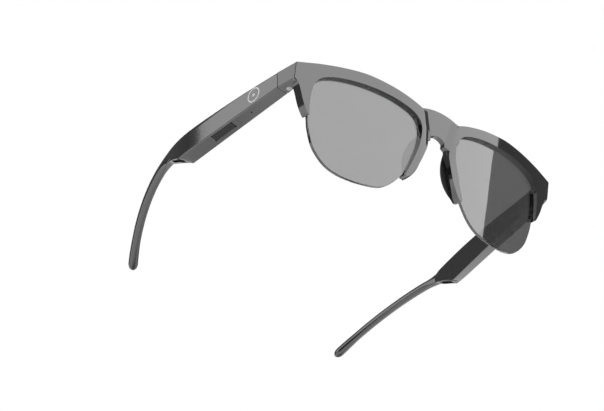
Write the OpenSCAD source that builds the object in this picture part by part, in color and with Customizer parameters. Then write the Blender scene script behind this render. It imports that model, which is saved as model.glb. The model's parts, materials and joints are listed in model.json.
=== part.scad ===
// Open-ear audio sunglasses with folding temples, standing open on a table.
// Lens bottoms and ear tips rest on z = 0. The front faces -Y, +X is the wearer's left.

/* [Front] */
// Distance between the two outer corners of the front
front_w = 146; // [143:1:149]
// Thickness of the brow bar, front to back
rim_t = 4.4; // [4.2:0.1:5]
// Radius of the curved front face, seen from above
face_r = 240; // [225:5:260]
// Backward lean of the front against the temples
lean_a = 12; // [11:0.5:13]
// How far the nose bridge panel sits behind the brows
bridge_step = 1.6; // [1:0.1:2]

/* [Lenses] */
// Thickness of a lens
lens_t = 1.6; // [1.4:0.1:1.8]
// Depth of the lens front behind the brow face
lens_set = 2; // [1.8:0.1:2.2]
// Length of lens edge hidden in the frame groove
lens_grip = 0.9; // [0.7:0.1:1.1]

/* [Temples] */
// Downward slope of the temples when the glasses stand on a table
stand_a = 10; // [9.5:0.5:10.5]
// Width of the electronics box, outside to inside
box_w = 5.9; // [5.7:0.1:6.4]
// Wall thickness of the electronics box
wall = 1.1; // [1:0.1:1.2]
// Bend radius of the ear hook
hook_r = 85; // [80:1:90]
// Arc of the ear hook
hook_a = 41.7; // [40:0.1:43]

/* [Hinges] */
// Diameter of the hinge pins
pin_d = 1.5; // [1.2:0.1:1.6]
// Radial play between a hinge pin and the temple leaf
pin_play = 0.05; // [0.03:0.01:0.08]

/* [Controls] */
// Length of the push key under the wearer's right temple
key_len = 13.4; // [11:0.2:14]
// Stroke of the push key
key_stroke = 0.4; // [0.3:0.05:0.5]
// Diameter of the touch mark on the wearer's right temple
mark_d = 7.6; // [6:0.2:8]

/* [Hidden] */
$fn = 64;

half_w = front_w / 2;
wide = half_w / 73;
face_rise = face_r - sqrt(face_r * face_r - half_w * half_w);
steps = 6;
gap = 0.05;
stand_y = -63.1;
stand_z = 48.3;

// Temple box, in its own frame: y runs back from the hinge seam, z up, +x outside.
seam_y = 11.35;
bay_x = half_w - 0.55;
bay_z = -4.35;
bay_turn = 5.55;
box_len = 61.3;
tail_len = 74.9;
bend_y = 57.5;
front_top = 4.45;
low_z = -4.45;
seam_z = -3.5;
rear_low = -7.2;
hook_up = 2.9;
hook_wide = 3.8;
hook_high = 5.2;
hook_in = -1.1;
hook_turn = 15.2;
hook_tilt = 24;
scoop_r = 60;
scoop_y = 95.9;
scoop_z = -56.2;
scoop_a = 27.2;
slot_x = -0.4;
slot_len = 8.6;
slot_w = 2;

// Hinge pivot, in the wearing frame.
pivot_x = half_w - 2;
pivot_y = 8.3;
knuckle_r = 1.85;
leaf_low = -5.7;
leaf_high = -3.1;
pivot_bx = (pivot_x - bay_x) * cos(bay_turn) - (pivot_y - seam_y) * sin(bay_turn);
pivot_by = (pivot_x - bay_x) * sin(bay_turn) + (pivot_y - seam_y) * cos(bay_turn);

// Push key and its switch.
key_y = 30.5;
key_x0 = -0.9;
key_x1 = 2.2;
mark_y = 15.2;
mark_z = 1.15;

// Point on a smooth curve between b and c.
function blend(a, b, c, d, t) =
    0.5 * (2 * b + (c - a) * t + (2 * a - 5 * b + 4 * c - d) * t * t
    + (3 * b - a - 3 * c + d) * t * t * t);

// Smooth closed outline through the points p.
function loop_through(p) = let (n = len(p))
    [for (i = [0 : n - 1]) for (k = [0 : steps - 1])
        blend(p[(i + n - 1) % n], p[i], p[(i + 1) % n], p[(i + 2) % n], k / steps)];

// Smooth open line through the points p.
function line_through(p) = let (n = len(p))
    [for (i = [0 : n - 2]) for (k = [0 : i == n - 2 ? steps : steps - 1])
        blend(p[max(i - 1, 0)], p[i], p[i + 1], p[min(i + 2, n - 1)], k / steps)];

// Closed outline moved outwards by e, for outlines that run clockwise.
function grown(p, e) = let (n = len(p))
    [for (i = [0 : n - 1]) let (t = p[(i + 1) % n] - p[(i + n - 1) % n])
        p[i] + e * [-t[1], t[0]] / norm(t)];

function spread(p) = [for (q = p) [q[0] * wide, q[1]]];

// Outlines of one side of the front, (across, up) on the leaning front.
function brow_top() = spread([[73, 0.1], [67.6, 1.2], [62.3, 2.3], [51.2, 4], [39.6, 4.8],
    [28, 3.7], [20.8, 2.3], [14, 0.4], [10, -1.2]]);
function inner_edge() = spread([[8, -8], [6.5, -14], [6.1, -17.5], [6.8, -20.6], [9.2, -27.6],
    [12.2, -33.8], [14.5, -36.9], [16.6, -37.3]]);
function outer_edge() = spread([[64.2, -24.6], [66, -22.6], [68, -18.4], [69.6, -13.6],
    [71, -10], [72.4, -8.4], [73.1, -8]]);
function opening() = loop_through(spread([[64.7, -24.6], [65.1, -19], [64.9, -13],
    [63.9, -8.2], [61, -4.3], [54, -1.8], [43, -0.6], [32, -0.8], [22, -2.2], [14, -5],
    [10.3, -9.5], [10.1, -17], [12.4, -26], [15.9, -35.4], [19, -46], [42, -53], [64, -42]]));
function lens_edge() = loop_through(spread([[64.3, -24], [63.2, -30], [60.3, -37.8],
    [55, -44], [48.8, -47.1], [41, -48.1], [33, -47.6], [27, -46.2], [21.8, -42.6],
    [17.9, -38], [15.7, -34.6], [12.4 - lens_grip, -26.2], [10.1 - lens_grip, -17],
    [10.3 - lens_grip, -9.2], [13.4, -4.4], [21.7, -2.2 + lens_grip], [32, -0.8 + lens_grip],
    [43, -0.6 + lens_grip], [54.2, -1.8 + lens_grip], [61.5, -3.6], [64.9, -8],
    [65.5, -13], [65.5, -19]]));

// Places the wearing frame on the table.
module stand() translate([0, stand_y, stand_z]) rotate([-stand_a, 0, 0]) children();

module lean() stand() rotate([lean_a, 0, 0]) children();

// Repeats a part for the other side.
module mirrored() for (m = [0, 1]) mirror([m, 0, 0]) children();

// Temple frame of the wearer's left side; right = 1 mirrors it.
module bay(right) stand() mirror([right, 0, 0]) translate([bay_x, seam_y, bay_z])
    rotate([0, 0, -bay_turn]) children();

// Curved layer of the front between depths d0 and d1 behind the front face.
module layer(d0, d1) intersection() {
    translate([0, 30, 0]) rotate([90, 0, 0]) linear_extrude(60) children();
    translate([0, face_r - face_rise, -60]) difference() {
        cylinder(r = face_r - d0, h = 80, $fn = 360);
        translate([0, 0, -1]) cylinder(r = face_r - d1, h = 82, $fn = 360);
    }
}

module brow_2d() difference() {
    polygon(concat(line_through(brow_top()), [[4, 0], [4, -14]], line_through(inner_edge()),
        line_through(outer_edge())));
    polygon(opening());
}

// Large block standing on the plane through a, b and c.
module beyond(a, b, c) {
    n = cross(c - a, b - a);
    translate(a) rotate([0, acos(n[2] / norm(n)), atan2(n[1], n[0])])
        translate([-60, -60, 0]) cube([120, 120, 30]);
}

// Slanted inner end of a brow.
module brow_end_cut() beyond([10 * wide, -11.1, -1.2], [5.9 * wide, -11.3, -17.5],
    [6.9 * wide, -11.1 + bridge_step, 1]);

module bridge_2d() difference() {
    polygon(concat([for (u = [-13 : 2 : 13]) [u * wide, 1.9 - 0.0165 * u * u]],
        [[13 * wide, -8]], [for (p = [[7, -20.6], [6.1, -17.5], [5.2, -14], [3.8, -12],
        [2, -10.9], [0, -10.5], [-2, -10.9], [-3.8, -12], [-5.2, -14], [-6.1, -17.5],
        [-7, -20.6]]) [p[0] * wide, p[1]]], [[-13 * wide, -8]]));
    mirrored_2d() polygon(opening());
}

module mirrored_2d() for (m = [0, 1]) mirror([m, 0]) children();

// Solid between the front corner and the hinge seam.
module endpiece() intersection() {
    stand() difference() {
        translate([0, 0, -8.85]) linear_extrude(8.95) polygon([[half_w - 9, 1],
            [half_w - 9, -4], [half_w, -4], [half_w, 0], [half_w + 2.4, 11.7],
            [half_w - 3.5, 11.7], [half_w - 3.5, 7.5], [half_w - 5.5, 4.8]]);
        translate([bay_x, seam_y, -12]) rotate([0, 0, -bay_turn])
            translate([-8, -0.15, 0]) cube([16, 6, 16]);
    }
    lean() translate([0, face_r - face_rise, -60]) cylinder(r = face_r, h = 80, $fn = 360);
}

// Room the temple end and its leaf need while the temple swings in.
module hinge_room() stand() translate([pivot_x, pivot_y, 0]) {
    translate([0, 0, -8]) cylinder(r = knuckle_r + 0.1, h = 7.2);
    translate([-8, -0.95, leaf_low - 0.15]) cube([9.25, 6, leaf_high - leaf_low + 0.3]);
    translate([-1.6, -5.7, -8]) cube([1.2, 5.7, 7.2]);
    translate([0, 0, -9.5]) cylinder(d = pin_d + 0.04, h = 9.2);
    translate([0, 0, -9.5]) cylinder(r = 1.35, h = 1.5);
    translate([-6, -3.4, -4.4]) rotate([0, 90, 0]) cylinder(r = 1, h = 4.6);
    translate([-1, -3.4, -4.4]) rotate([0, 90, 0]) cylinder(r = 0.5, h = 3);
    difference() {
        translate([-6, 0, -12]) cube([6, 6, 16]);
        translate([0, 0, -13]) cylinder(r = 2.95, h = 18);
    }
}

// Pointed-oval section, w wide across x and h high across y.
module ridge_2d(w, h) {
    s = h * h / w;
    r = (s + w) / 4;
    d = (s - w) / 4;
    intersection() {
        translate([d, 0]) circle(r);
        translate([-d, 0]) circle(r);
    }
}

// Spindle of length l and diameter d along z.
module spindle(d, l) {
    r = (l * l / d + d) / 4;
    rotate_extrude($fn = 128) intersection() {
        translate([d / 2 - r, 0]) circle(r, $fn = 256);
        translate([0, -l / 2]) square([d, l]);
    }
}

module pad_place() lean() translate([11 * wide, -7.4, -24.4]) rotate([0, -15.7, 0])
    children();

module front_frame() color("#151517") difference() {
    union() {
        lean() mirrored() difference() {
            layer(0, rim_t) brow_2d();
            brow_end_cut();
        }
        lean() layer(bridge_step, rim_t) bridge_2d();
        mirrored() intersection() {
            pad_place() scale(0.6) spindle(9.4, 27);
            lean() translate([0, face_r - face_rise, -60])
                cylinder(r = face_r - rim_t + 0.4, h = 80, $fn = 360);
        }
        mirrored() endpiece();
    }
    lean() mirrored() layer(lens_set - gap, lens_set + lens_t + gap)
        polygon(grown(lens_edge(), gap));
    mirrored() hinge_room();
}

module lens() color("#5d5f63", 0.55) lean() layer(lens_set, lens_set + lens_t)
    polygon(lens_edge());

module nose_pad() color("#1b1b1d") difference() {
    intersection() {
        pad_place() spindle(9.4, 27);
        lean() translate([0, face_r - face_rise, -60])
            cylinder(r = face_r - rim_t - 0.02, h = 80, $fn = 360);
    }
    pad_place() scale(0.605) spindle(9.4, 27);
}

module hinge_base() color("#8d8f94") stand() translate([pivot_x, pivot_y, 0]) difference() {
    union() {
        translate([0, 0, -7.9]) cylinder(r = knuckle_r, h = 7);
        translate([-1.5, -5.6, -7.9]) cube([1, 5.6, 7]);
    }
    translate([-4, -1, leaf_low - 0.1]) cube([8, 5, leaf_high - leaf_low + 0.2]);
    translate([0, 0, leaf_low - 0.1]) cylinder(r = 2.1, h = leaf_high - leaf_low + 0.2);
    translate([0, 0, -9]) cylinder(d = pin_d + 0.02, h = 10);
    translate([-2, -3.4, -4.4]) rotate([0, 90, 0]) cylinder(r = 0.5, h = 3);
}

module hinge_base_screws() color("#a7a9ad") mirrored() stand()
    translate([pivot_x, pivot_y, 0]) translate([-1.5, -3.4, -4.4]) rotate([0, 90, 0]) {
        translate([0, 0, -0.6]) cylinder(r = 0.9, h = 0.6);
        cylinder(r = 0.48, h = 3.2);
    }

module hinge_pins() color("#a7a9ad") mirrored() stand() translate([pivot_x, pivot_y, 0]) {
    translate([0, 0, -8.8]) cylinder(r = 1.3, h = 0.75);
    translate([0, 0, -8.1]) cylinder(d = pin_d, h = 7.7);
}

// Plan of the temple box and its tail, drawn smaller by e, from y0 to y1.
module bay_plan(e, y0, y1) {
    r = (tail_len - bend_y) / sin(hook_turn);
    last = asin(min(1, (y1 - bend_y) / r));
    polygon(concat([[-box_w / 2 + e, y0], [-box_w / 2 + e, y1]],
        [for (k = [8 : -1 : 0]) let (a = last * k / 8)
            [box_w / 2 - e - r * (1 - cos(a)), bend_y + r * sin(a)]],
        [[box_w / 2 - e, y0]]));
}

// Side view of the temple box, its top drawn lower by e, above the given lower line.
module bay_side(e, low) rotate([90, 0, 90]) translate([0, 0, -12]) linear_extrude(24)
    polygon(concat([for (p = line_through([[0, front_top], [24, 6.1], [48, 6.7], [62, 6.3],
        [75, 5.4]])) [p[0], p[1] - e]], low));

module scoop(e) translate([-12, scoop_y, scoop_z]) rotate([0, 90, 0])
    cylinder(r = scoop_r + e, h = 24, $fn = 360);

// Outer form of the temple box, with the ramp under the tail taken out.
module box_form() difference() {
    intersection() {
        translate([0, 0, -12]) linear_extrude(24) bay_plan(0, 0, tail_len);
        bay_side(0, [[76, -1], [box_len + 3, -7.5], [box_len, rear_low], [0, low_z]]);
    }
    scoop(0);
    beyond([box_w / 2, 60, low_z - 0.45], [-box_w / 2, box_len, rear_low], [box_w / 2, 0, low_z]);
}

// Hollow of the temple box, drawn smaller by e.
module box_hollow(e) difference() {
    intersection() {
        translate([0, 0, -12]) linear_extrude(24) bay_plan(wall + e, wall + e, tail_len - 4 - e);
        bay_side(wall + e, [[76, seam_z], [0, seam_z]]);
    }
    scoop(wall + e);
}

// Region that belongs to the inner and lower cover.
module cover_zone(e) {
    translate([-12, -1, -12]) cube([24, box_len + 1 - e, 12 + seam_z - e]);
    translate([-12, -1, -12]) cube([12 - box_w / 2 + wall - e, box_len + 1 - e,
        12 + front_top - wall - e]);
}

module hook_place() translate([hook_in, tail_len, hook_up]) rotate([0, 0, hook_turn])
    rotate([0, hook_tilt - 90, 0]) translate([-hook_r, 0, 0]) children();

// Room around the rounded end of the ear hook.
module tip_room() hook_place() rotate(hook_a) difference() {
    translate([hook_r - 8, 0, -8]) cube([16, 8, 16]);
    translate([hook_r, 0, -9]) cylinder(r = hook_high / 2 + 0.1, h = 18);
}

module hook() difference() {
    hook_place() rotate(-2) rotate_extrude(angle = hook_a + 4, $fn = 96)
        translate([hook_r, 0]) rotate(90) ridge_2d(hook_wide, hook_high);
    tip_room();
}

module hook_bore(d) {
    hook_place() rotate_extrude(angle = hook_a, $fn = 96) translate([hook_r, 0]) circle(d = d);
    translate([hook_in, tail_len, hook_up]) rotate([90, 0, hook_turn])
        translate([0, 0, -0.01]) cylinder(d = d, h = 3.4);
}

// Stadium-shaped plug through the ramp wall, from depth d0 to d1, grown by e.
module slot_plug(e, d0, d1) translate([slot_x, scoop_y, scoop_z]) rotate([scoop_a, 0, 0])
    translate([0, 0, scoop_r + d0]) linear_extrude(d1 - d0) {
        square([slot_w + e, slot_len - slot_w], center = true);
        for (s = [-0.5, 0.5]) translate([0, s * (slot_len - slot_w)]) circle(d = slot_w + e);
    }

// Cylinder along x from x0 to x1.
module rod(r, x0, x1, y, z) translate([x0, y, z]) rotate([0, 90, 0])
    cylinder(r = r, h = x1 - x0);

module block(x0, x1, y0, y1, z0, z1) translate([x0, y0, z0])
    cube([x1 - x0, y1 - y0, z1 - z0]);

module mark_rings(e) {
    difference() {
        rod(mark_d / 2 + e, box_w / 2 - 0.2 - e, box_w / 2 + 0.005 + e * 9, mark_y, mark_z);
        rod(mark_d / 2 - 0.7 - e, 0, box_w, mark_y, mark_z);
    }
    rod(mark_d * 0.11 + e, box_w / 2 - 0.2 - e, box_w / 2 + 0.005 + e * 9, mark_y, mark_z);
}

module temple_shell(right) color("#101012") bay(right) difference() {
    union() {
        box_form();
        hook();
    }
    difference() {
        box_hollow(0);
        block(-0.35, box_w, 2.4, 11.8, -2.4, 2.4);
    }
    cover_zone(0);
    hook_bore(1.3);
    block(-1.85, -0.35, -1, 2.5, -1.45, 1.35);
    slot_plug(0, -0.5, wall + 1);
    slot_plug(0.8, 0.5, wall + 1);
    for (y = leaf_screw_y) rod(0.5, -1, 1.6, y, 0);
    if (right == 1) mark_rings(0.02);
}

module temple_cover(right) color("#17171a") bay(right) difference() {
    intersection() {
        box_form();
        cover_zone(gap);
    }
    box_hollow(0);
    translate([0.4, 19.3, -6]) cylinder(d = 0.8, h = 4);
    for (y = contact_y) rod(1, -4, 0, y, 0);
    if (right == 1) key_block(0.1, seam_z + 0.2);
}

leaf_screw_y = [4.6, 9.6];
contact_y = [18, 22];
magnet_y = [14.6, 25.4];

module hinge_leaf(right) color("#8d8f94") bay(right) difference() {
    union() {
        translate([pivot_bx, pivot_by, -1.35]) cylinder(r = knuckle_r, h = 2.6);
        block(-1.8, -0.4, pivot_by, 3, -1.35, 1.25);
        block(-1.8, -0.4, 1.3, 11.6, -2.2, 2.2);
    }
    translate([pivot_bx, pivot_by, -4]) cylinder(r = pin_d / 2 + pin_play, h = 8);
    for (y = leaf_screw_y) {
        rod(0.5, -3, 1, y, 0);
        rod(0.95, -3, -1.2, y, 0);
    }
}

module leaf_screws(right) color("#a7a9ad") bay(right) for (y = leaf_screw_y) {
    rod(0.9, -1.78, -1.22, y, 0);
    rod(0.48, -1.25, 1.5, y, 0);
}

module hook_core(right) color("#b5b6b8") bay(right) hook_bore(1.2);

module battery(right) color("#3f5f8a") bay(right) block(-1.7, 0.9, 27.5, 48.5, -1, 4.6);

module circuit_board(right) color("#1f5a3a") bay(right) difference() {
    block(1, 1.65, 13.5, 49, -2.4, 4);
    rod(0.6, 0, 3, 26.2, 2.9);
}

module radio_module(right) color("#9fa3a8") bay(right) block(-0.6, 0.98, 15, 25, -1.5, 3.4);

module antenna(right) color("#b87333") bay(right) block(-1.2, 0.8, 30, 50, 4.8, 4.95);

module speaker(right) color("#2a2a2c") bay(right) {
    block(-1.6, 1.5, 50, 59, -3.4, 3.4);
    translate([slot_x, 58.9, 0]) rotate([-90, 0, 0]) cylinder(r = 1.1, h = 1);
}

module speaker_gasket(right) color("#26262a") bay(right) difference() {
    intersection() {
        slot_plug(1, wall, wall + 0.9);
        box_hollow(0.06);
    }
    slot_plug(-0.6, wall - 1, wall + 1);
}

module speaker_mesh(right) color("#0a0a0a") bay(right) difference() {
    slot_plug(0.75, 0.52, wall);
    for (v = [-3 : 3]) translate([slot_x, scoop_y, scoop_z]) rotate([scoop_a, 0, 0])
        translate([0, v, scoop_r]) cylinder(d = 0.5, h = 2, $fn = 24);
}

module microphone(right) color("#c9a54a") bay(right) block(-0.6, 0.95, 18, 20.6, -3.46, -2.6);

module charge_contacts(right) color("#d9b45b") bay(right) for (y = contact_y)
    rod(0.97, -box_w / 2, -1, y, 0);

module charge_magnets(right) color("#c8cacc") bay(right) for (y = magnet_y)
    rod(1.3, -1.8, -0.9, y, 0);

module touch_sensor() color("#b87333") bay(1) rod(3.1, 1.7, 1.82, mark_y, mark_z);

module touch_mark() color("#e8e8e8") bay(1) mark_rings(0);

module key_switch() color("#7b7d80") bay(1) block(-0.8, 0.95, 35.4, 39, -2.3, -1.1);

// Body of the push key up to the height top, grown by e sideways.
module key_block(e, top) intersection() {
    block(key_x0 - e, key_x1 + e, key_y - e, key_y + key_len + e, -9, top);
    translate([0, 0, -0.25 - e * 20]) box_form();
}

module push_key() color("#232326") bay(1) {
    key_block(0, seam_z - key_stroke - 0.1);
    block(key_x0, 1.7, key_y + 1, key_y + key_len - 1, seam_z - key_stroke - 0.15, seam_z + 0.1);
    block(-1.5, 1.7, key_y + 1, key_y + key_len - 1, seam_z + 0.05, seam_z + 0.5);
    translate([0.1, 37.2, seam_z + 0.3]) cylinder(d = 1.6, h = 0.45);
}

front_frame();
mirror([1, 0, 0]) lens();  // lens_right
mirror([1, 0, 0]) nose_pad();  // nose_pad_right
mirror([1, 0, 0]) hinge_base();  // hinge_base_right
lens();  // lens_left
nose_pad();  // nose_pad_left
hinge_base();  // hinge_base_left
hinge_base_screws();
hinge_pins();
temple_shell(1);  // temple_shell_right
temple_cover(1);  // temple_cover_right
hinge_leaf(1);  // hinge_leaf_right
leaf_screws(1);  // leaf_screws_right
hook_core(1);  // hook_core_right
battery(1);  // battery_right
circuit_board(1);  // circuit_board_right
radio_module(1);  // radio_module_right
antenna(1);  // antenna_right
speaker(1);  // speaker_right
speaker_gasket(1);  // speaker_gasket_right
speaker_mesh(1);  // speaker_mesh_right
microphone(1);  // microphone_right
charge_contacts(1);  // charge_contacts_right
charge_magnets(1);  // charge_magnets_right
temple_shell(0);  // temple_shell_left
temple_cover(0);  // temple_cover_left
hinge_leaf(0);  // hinge_leaf_left
leaf_screws(0);  // leaf_screws_left
hook_core(0);  // hook_core_left
battery(0);  // battery_left
circuit_board(0);  // circuit_board_left
radio_module(0);  // radio_module_left
antenna(0);  // antenna_left
speaker(0);  // speaker_left
speaker_gasket(0);  // speaker_gasket_left
speaker_mesh(0);  // speaker_mesh_left
microphone(0);  // microphone_left
charge_contacts(0);  // charge_contacts_left
charge_magnets(0);  // charge_magnets_left
touch_sensor();
touch_mark();
key_switch();
push_key();
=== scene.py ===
"""Looks of the half-rim audio sunglasses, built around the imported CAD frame.

Lengths in the classes are millimetres, as in the CAD source. Finished meshes are in metres.
Wearer's left is +X. The front faces -Y, and the glasses stand on z = 0.
"""

from __future__ import annotations

import json
import logging
import math
from collections.abc import Callable, Iterable, Sequence
from dataclasses import dataclass, field
from enum import Enum

import bmesh
import bpy
import numpy as np
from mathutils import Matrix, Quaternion, Vector

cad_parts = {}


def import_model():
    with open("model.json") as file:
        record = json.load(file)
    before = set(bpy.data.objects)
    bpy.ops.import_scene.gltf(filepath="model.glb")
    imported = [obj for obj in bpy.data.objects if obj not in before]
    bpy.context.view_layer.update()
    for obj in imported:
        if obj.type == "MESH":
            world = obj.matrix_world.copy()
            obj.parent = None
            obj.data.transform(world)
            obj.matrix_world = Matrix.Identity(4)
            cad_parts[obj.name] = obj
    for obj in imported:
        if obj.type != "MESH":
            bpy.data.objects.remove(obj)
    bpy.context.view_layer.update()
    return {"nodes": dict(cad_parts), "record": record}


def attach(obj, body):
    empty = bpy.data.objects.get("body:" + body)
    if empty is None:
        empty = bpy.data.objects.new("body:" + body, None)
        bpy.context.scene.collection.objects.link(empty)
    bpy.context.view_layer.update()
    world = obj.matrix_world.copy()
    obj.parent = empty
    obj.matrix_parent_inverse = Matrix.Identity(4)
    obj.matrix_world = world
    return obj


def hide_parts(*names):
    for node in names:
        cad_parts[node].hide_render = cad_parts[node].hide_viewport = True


LOG = logging.getLogger("sunglasses")
Colour = tuple[float, float, float]
Point2 = tuple[float, float]
Points = np.ndarray


class Side(Enum):
    """The wearer's side a piece is on; the value is its sign along X."""

    RIGHT = -1
    LEFT = 1

    @property
    def label(self) -> str:
        """Lower-case name used in piece and body names."""
        return self.name.lower()


class Grain(Enum):
    """Surface patterns that a finish can have."""

    POLISHED = "polished"
    SATIN = "satin"
    BRUSHED = "brushed"
    FOAM = "foam"
    WEAVE = "weave"


# ---------------------------------------------------------------- places


@dataclass(frozen=True)
class Layout:
    """Frames of the glasses: wearing, leaning front, temple box and table.

    Each method takes rows of (x, y, z) in millimetres.
    """

    half_w: float = 73.0
    face_r: float = 240.0
    lean: float = math.radians(12.0)
    slope: float = math.radians(10.0)
    stand_y: float = -63.1
    stand_z: float = 48.3
    bay_at: tuple[float, float, float] = (72.45, 11.35, -4.35)
    bay_turn: float = math.radians(5.55)

    @property
    def face_rise(self) -> float:
        """How far the middle of the front stands ahead of its corners."""
        return self.face_r - math.sqrt(self.face_r**2 - self.half_w**2)

    def table(self, p: Points) -> Points:
        """Wearing frame to the table frame."""
        c, s = math.cos(self.slope), math.sin(self.slope)
        x, y, z = p.T
        return np.stack([x, y * c + z * s + self.stand_y, z * c - y * s + self.stand_z], 1)

    def front(self, p: Points) -> Points:
        """(across, depth behind the face, up) on the leaning front to the table frame."""
        u, d, w = p.T
        v = self.face_r - self.face_rise - np.sqrt((self.face_r - d) ** 2 - u**2)
        c, s = math.cos(self.lean), math.sin(self.lean)
        return self.table(np.stack([u, v * c - w * s, w * c + v * s], 1))

    def bay(self, p: Points, side: Side) -> Points:
        """Temple box frame (outward, back, up) to the table frame."""
        c, s = math.cos(self.bay_turn), math.sin(self.bay_turn)
        x, y, z = p.T
        wear = np.stack([
            side.value * (self.bay_at[0] + x * c + y * s),
            self.bay_at[1] - x * s + y * c,
            self.bay_at[2] + z,
        ], 1)
        return self.table(wear)


LAYOUT = Layout()


# ---------------------------------------------------------------- curves and meshes


def spline(points: Sequence[Point2], steps: int = 8, closed: bool = False) -> list[Point2]:
    """Smooth line through points, the same rule as the CAD outlines.

    Args:
        points: The points it passes through.
        steps: Pieces between two points.
        closed: Whether the last point joins the first.

    Returns:
        The points of the line.
    """
    p = [np.array(q, float) for q in points]
    n = len(p)
    out: list[Point2] = []
    for i in range(n if closed else n - 1):
        a = p[(i - 1) % n] if closed else p[max(i - 1, 0)]
        b, c = p[i], p[(i + 1) % n]
        d = p[(i + 2) % n] if closed else p[min(i + 2, n - 1)]
        for k in range(steps):
            t = k / steps
            q = 0.5 * (2 * b + (c - a) * t + (2 * a - 5 * b + 4 * c - d) * t * t
                       + (3 * b - a - 3 * c + d) * t**3)
            out.append((float(q[0]), float(q[1])))
    if not closed:
        out.append((float(p[-1][0]), float(p[-1][1])))
    return out


def circle(cx: float, cy: float, r: float, sides: int) -> list[Point2]:
    """Outline of a circle as a regular polygon."""
    return [(cx + r * math.cos(a), cy + r * math.sin(a))
            for a in np.linspace(0, 2 * math.pi, sides, endpoint=False)]


def ease(x: float, lo: float, hi: float) -> float:
    """Smooth step from 0 at lo to 1 at hi."""
    t = min(1.0, max(0.0, (x - lo) / (hi - lo)))
    return t * t * (3 - 2 * t)


def new_object(name: str, mesh: bpy.types.Mesh) -> bpy.types.Object:
    """Links a mesh into the scene as an object at the origin."""
    obj = bpy.data.objects.new(name, mesh)
    bpy.context.scene.collection.objects.link(obj)
    return obj


def face_out(bm: bmesh.types.BMesh) -> None:
    """Turns the faces of a closed bmesh outwards, which its signed volume proves."""
    bmesh.ops.recalc_face_normals(bm, faces=bm.faces)
    if bm.calc_volume(signed=True) < 0:
        bmesh.ops.reverse_faces(bm, faces=bm.faces)


def mesh_from(name: str, verts: Points, faces: Iterable[Sequence[int]],
              weld: float = 2e-6) -> bpy.types.Object:
    """Object from vertices in metres and faces, with its faces turned outwards.

    Args:
        name: Piece name.
        verts: Rows of x, y, z in metres.
        faces: Vertex numbers of each face.
        weld: Vertices closer than this are joined; 0 leaves them all.

    Returns:
        The new object.
    """
    mesh = bpy.data.meshes.new(name)
    mesh.from_pydata([tuple(v) for v in verts], [], [tuple(f) for f in faces])
    mesh.update()
    bm = bmesh.new()
    bm.from_mesh(mesh)
    if weld:
        bmesh.ops.remove_doubles(bm, verts=bm.verts, dist=weld)
    face_out(bm)
    bm.to_mesh(mesh)
    bm.free()
    return new_object(name, mesh)


def prism(outline: Sequence[Point2], low: float, high: float) -> bmesh.types.BMesh:
    """Solid with the given plan outline, between two heights along the third axis.

    Args:
        outline: Plan points.
        low: Third coordinate of the first face.
        high: Third coordinate of the second face.

    Returns:
        A new bmesh with the plan in x and y.
    """
    bm = bmesh.new()
    base = [bm.verts.new((x, y, low)) for x, y in outline]
    top = [bm.verts.new((x, y, high)) for x, y in outline]
    bm.faces.new(base)
    bm.faces.new(list(reversed(top)))
    n = len(base)
    for i in range(n):
        j = (i + 1) % n
        bm.faces.new((base[i], top[i], top[j], base[j]))
    bmesh.ops.recalc_face_normals(bm, faces=bm.faces)
    return bm


def slice_off(bm: bmesh.types.BMesh, at: Sequence[float], normal: Sequence[float]) -> None:
    """Cuts away what lies beyond a plane and closes the cut."""
    geom = [*bm.verts, *bm.edges, *bm.faces]
    cut = bmesh.ops.bisect_plane(bm, geom=geom, dist=1e-6, plane_co=at, plane_no=normal,
                                 clear_outer=True)
    edges = [e for e in cut["geom_cut"] if isinstance(e, bmesh.types.BMEdge)]
    bmesh.ops.contextual_create(bm, geom=edges)
    bmesh.ops.recalc_face_normals(bm, faces=bm.faces)


def round_edges(bm: bmesh.types.BMesh, width: float, segments: int,
                chosen: Callable[[bmesh.types.BMEdge], bool] | None = None,
                least: float = 35.0) -> None:
    """Rounds the sharp edges of a bmesh.

    Args:
        bm: The mesh.
        width: Width of the rounding.
        segments: Faces across the rounding.
        chosen: Which of the sharp edges are taken, or None for all of them.
        least: Smallest angle in degrees that counts as sharp.
    """
    edges = [e for e in bm.edges if len(e.link_faces) == 2
             and e.calc_face_angle(0.0) > math.radians(least)
             and (chosen is None or chosen(e))]
    bmesh.ops.bevel(bm, geom=edges, offset=width, segments=segments, profile=0.5,
                    affect="EDGES", clamp_overlap=True)


def strips(bm: bmesh.types.BMesh, axis: int, lo: float, hi: float, pitch: float) -> None:
    """Cuts faces into strips across an axis, so that a flat plan can follow a curved face."""
    normal = [0.0, 0.0, 0.0]
    normal[axis] = 1.0
    for k in range(int((hi - lo) / pitch) + 1):
        at = [0.0, 0.0, 0.0]
        at[axis] = lo + k * pitch
        bmesh.ops.bisect_plane(bm, geom=[*bm.verts, *bm.edges, *bm.faces], dist=1e-6,
                               plane_co=at, plane_no=normal)


def rows(bm: bmesh.types.BMesh) -> Points:
    """The vertices of a bmesh as rows."""
    return np.array([v.co[:] for v in bm.verts], float)


def place(bm: bmesh.types.BMesh, coords: Points) -> None:
    """Moves the vertices of a bmesh to rows given in millimetres."""
    for v, co in zip(bm.verts, coords * 0.001):
        v.co = co


def finish_mesh(name: str, parts: Sequence[bmesh.types.BMesh]) -> bpy.types.Object:
    """One object from several closed bmeshes, faces outwards.

    Args:
        name: Piece name.
        parts: Meshes in metres; they are freed.

    Returns:
        The new object.
    """
    whole = bmesh.new()
    for part in parts:
        face_out(part)
        hold = bpy.data.meshes.new("hold")
        part.to_mesh(hold)
        part.free()
        whole.from_mesh(hold)
        bpy.data.meshes.remove(hold)
    mesh = bpy.data.meshes.new(name)
    whole.to_mesh(mesh)
    whole.free()
    return new_object(name, mesh)


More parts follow.
